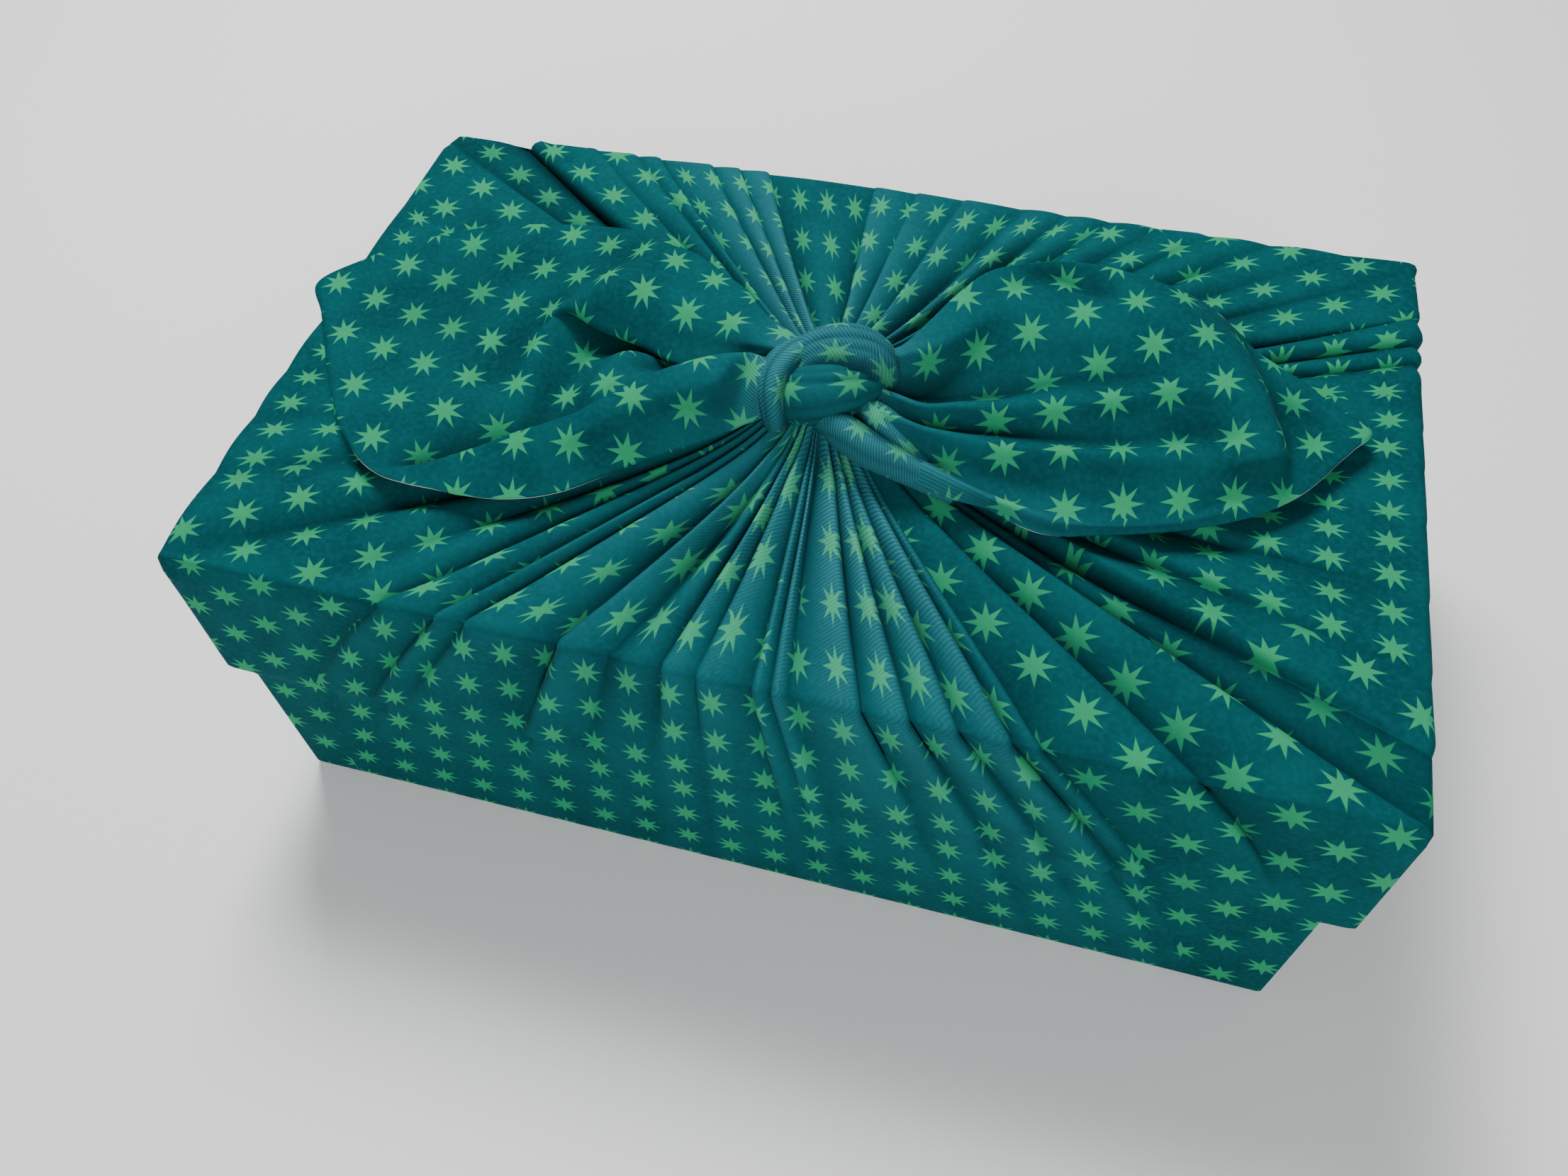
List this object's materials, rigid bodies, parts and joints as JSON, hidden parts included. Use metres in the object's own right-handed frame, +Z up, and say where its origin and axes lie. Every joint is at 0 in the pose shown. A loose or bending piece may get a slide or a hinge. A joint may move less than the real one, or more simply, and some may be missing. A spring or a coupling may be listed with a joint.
{
  "type": "furoshiki wrap",
  "caption": "Gift-wrapping cloth drawn up round a box-shaped bundle into radiating pleats, tied in a knot on top with its free corners spread like leaves.",
  "frame": {"origin": "middle of the flat underside", "axes": "+X along the long side to the right as seen from the front, +Y to the back, +Z up"},
  "size_m": [0.3545, 0.2167, 0.1575],
  "materials": {
    "stretch_cloth": "matt teal stretch knit with green stars"
  },
  "bodies": {
    "root": {"furoshiki": "stretch_cloth"}
  },
  "joints": []
}
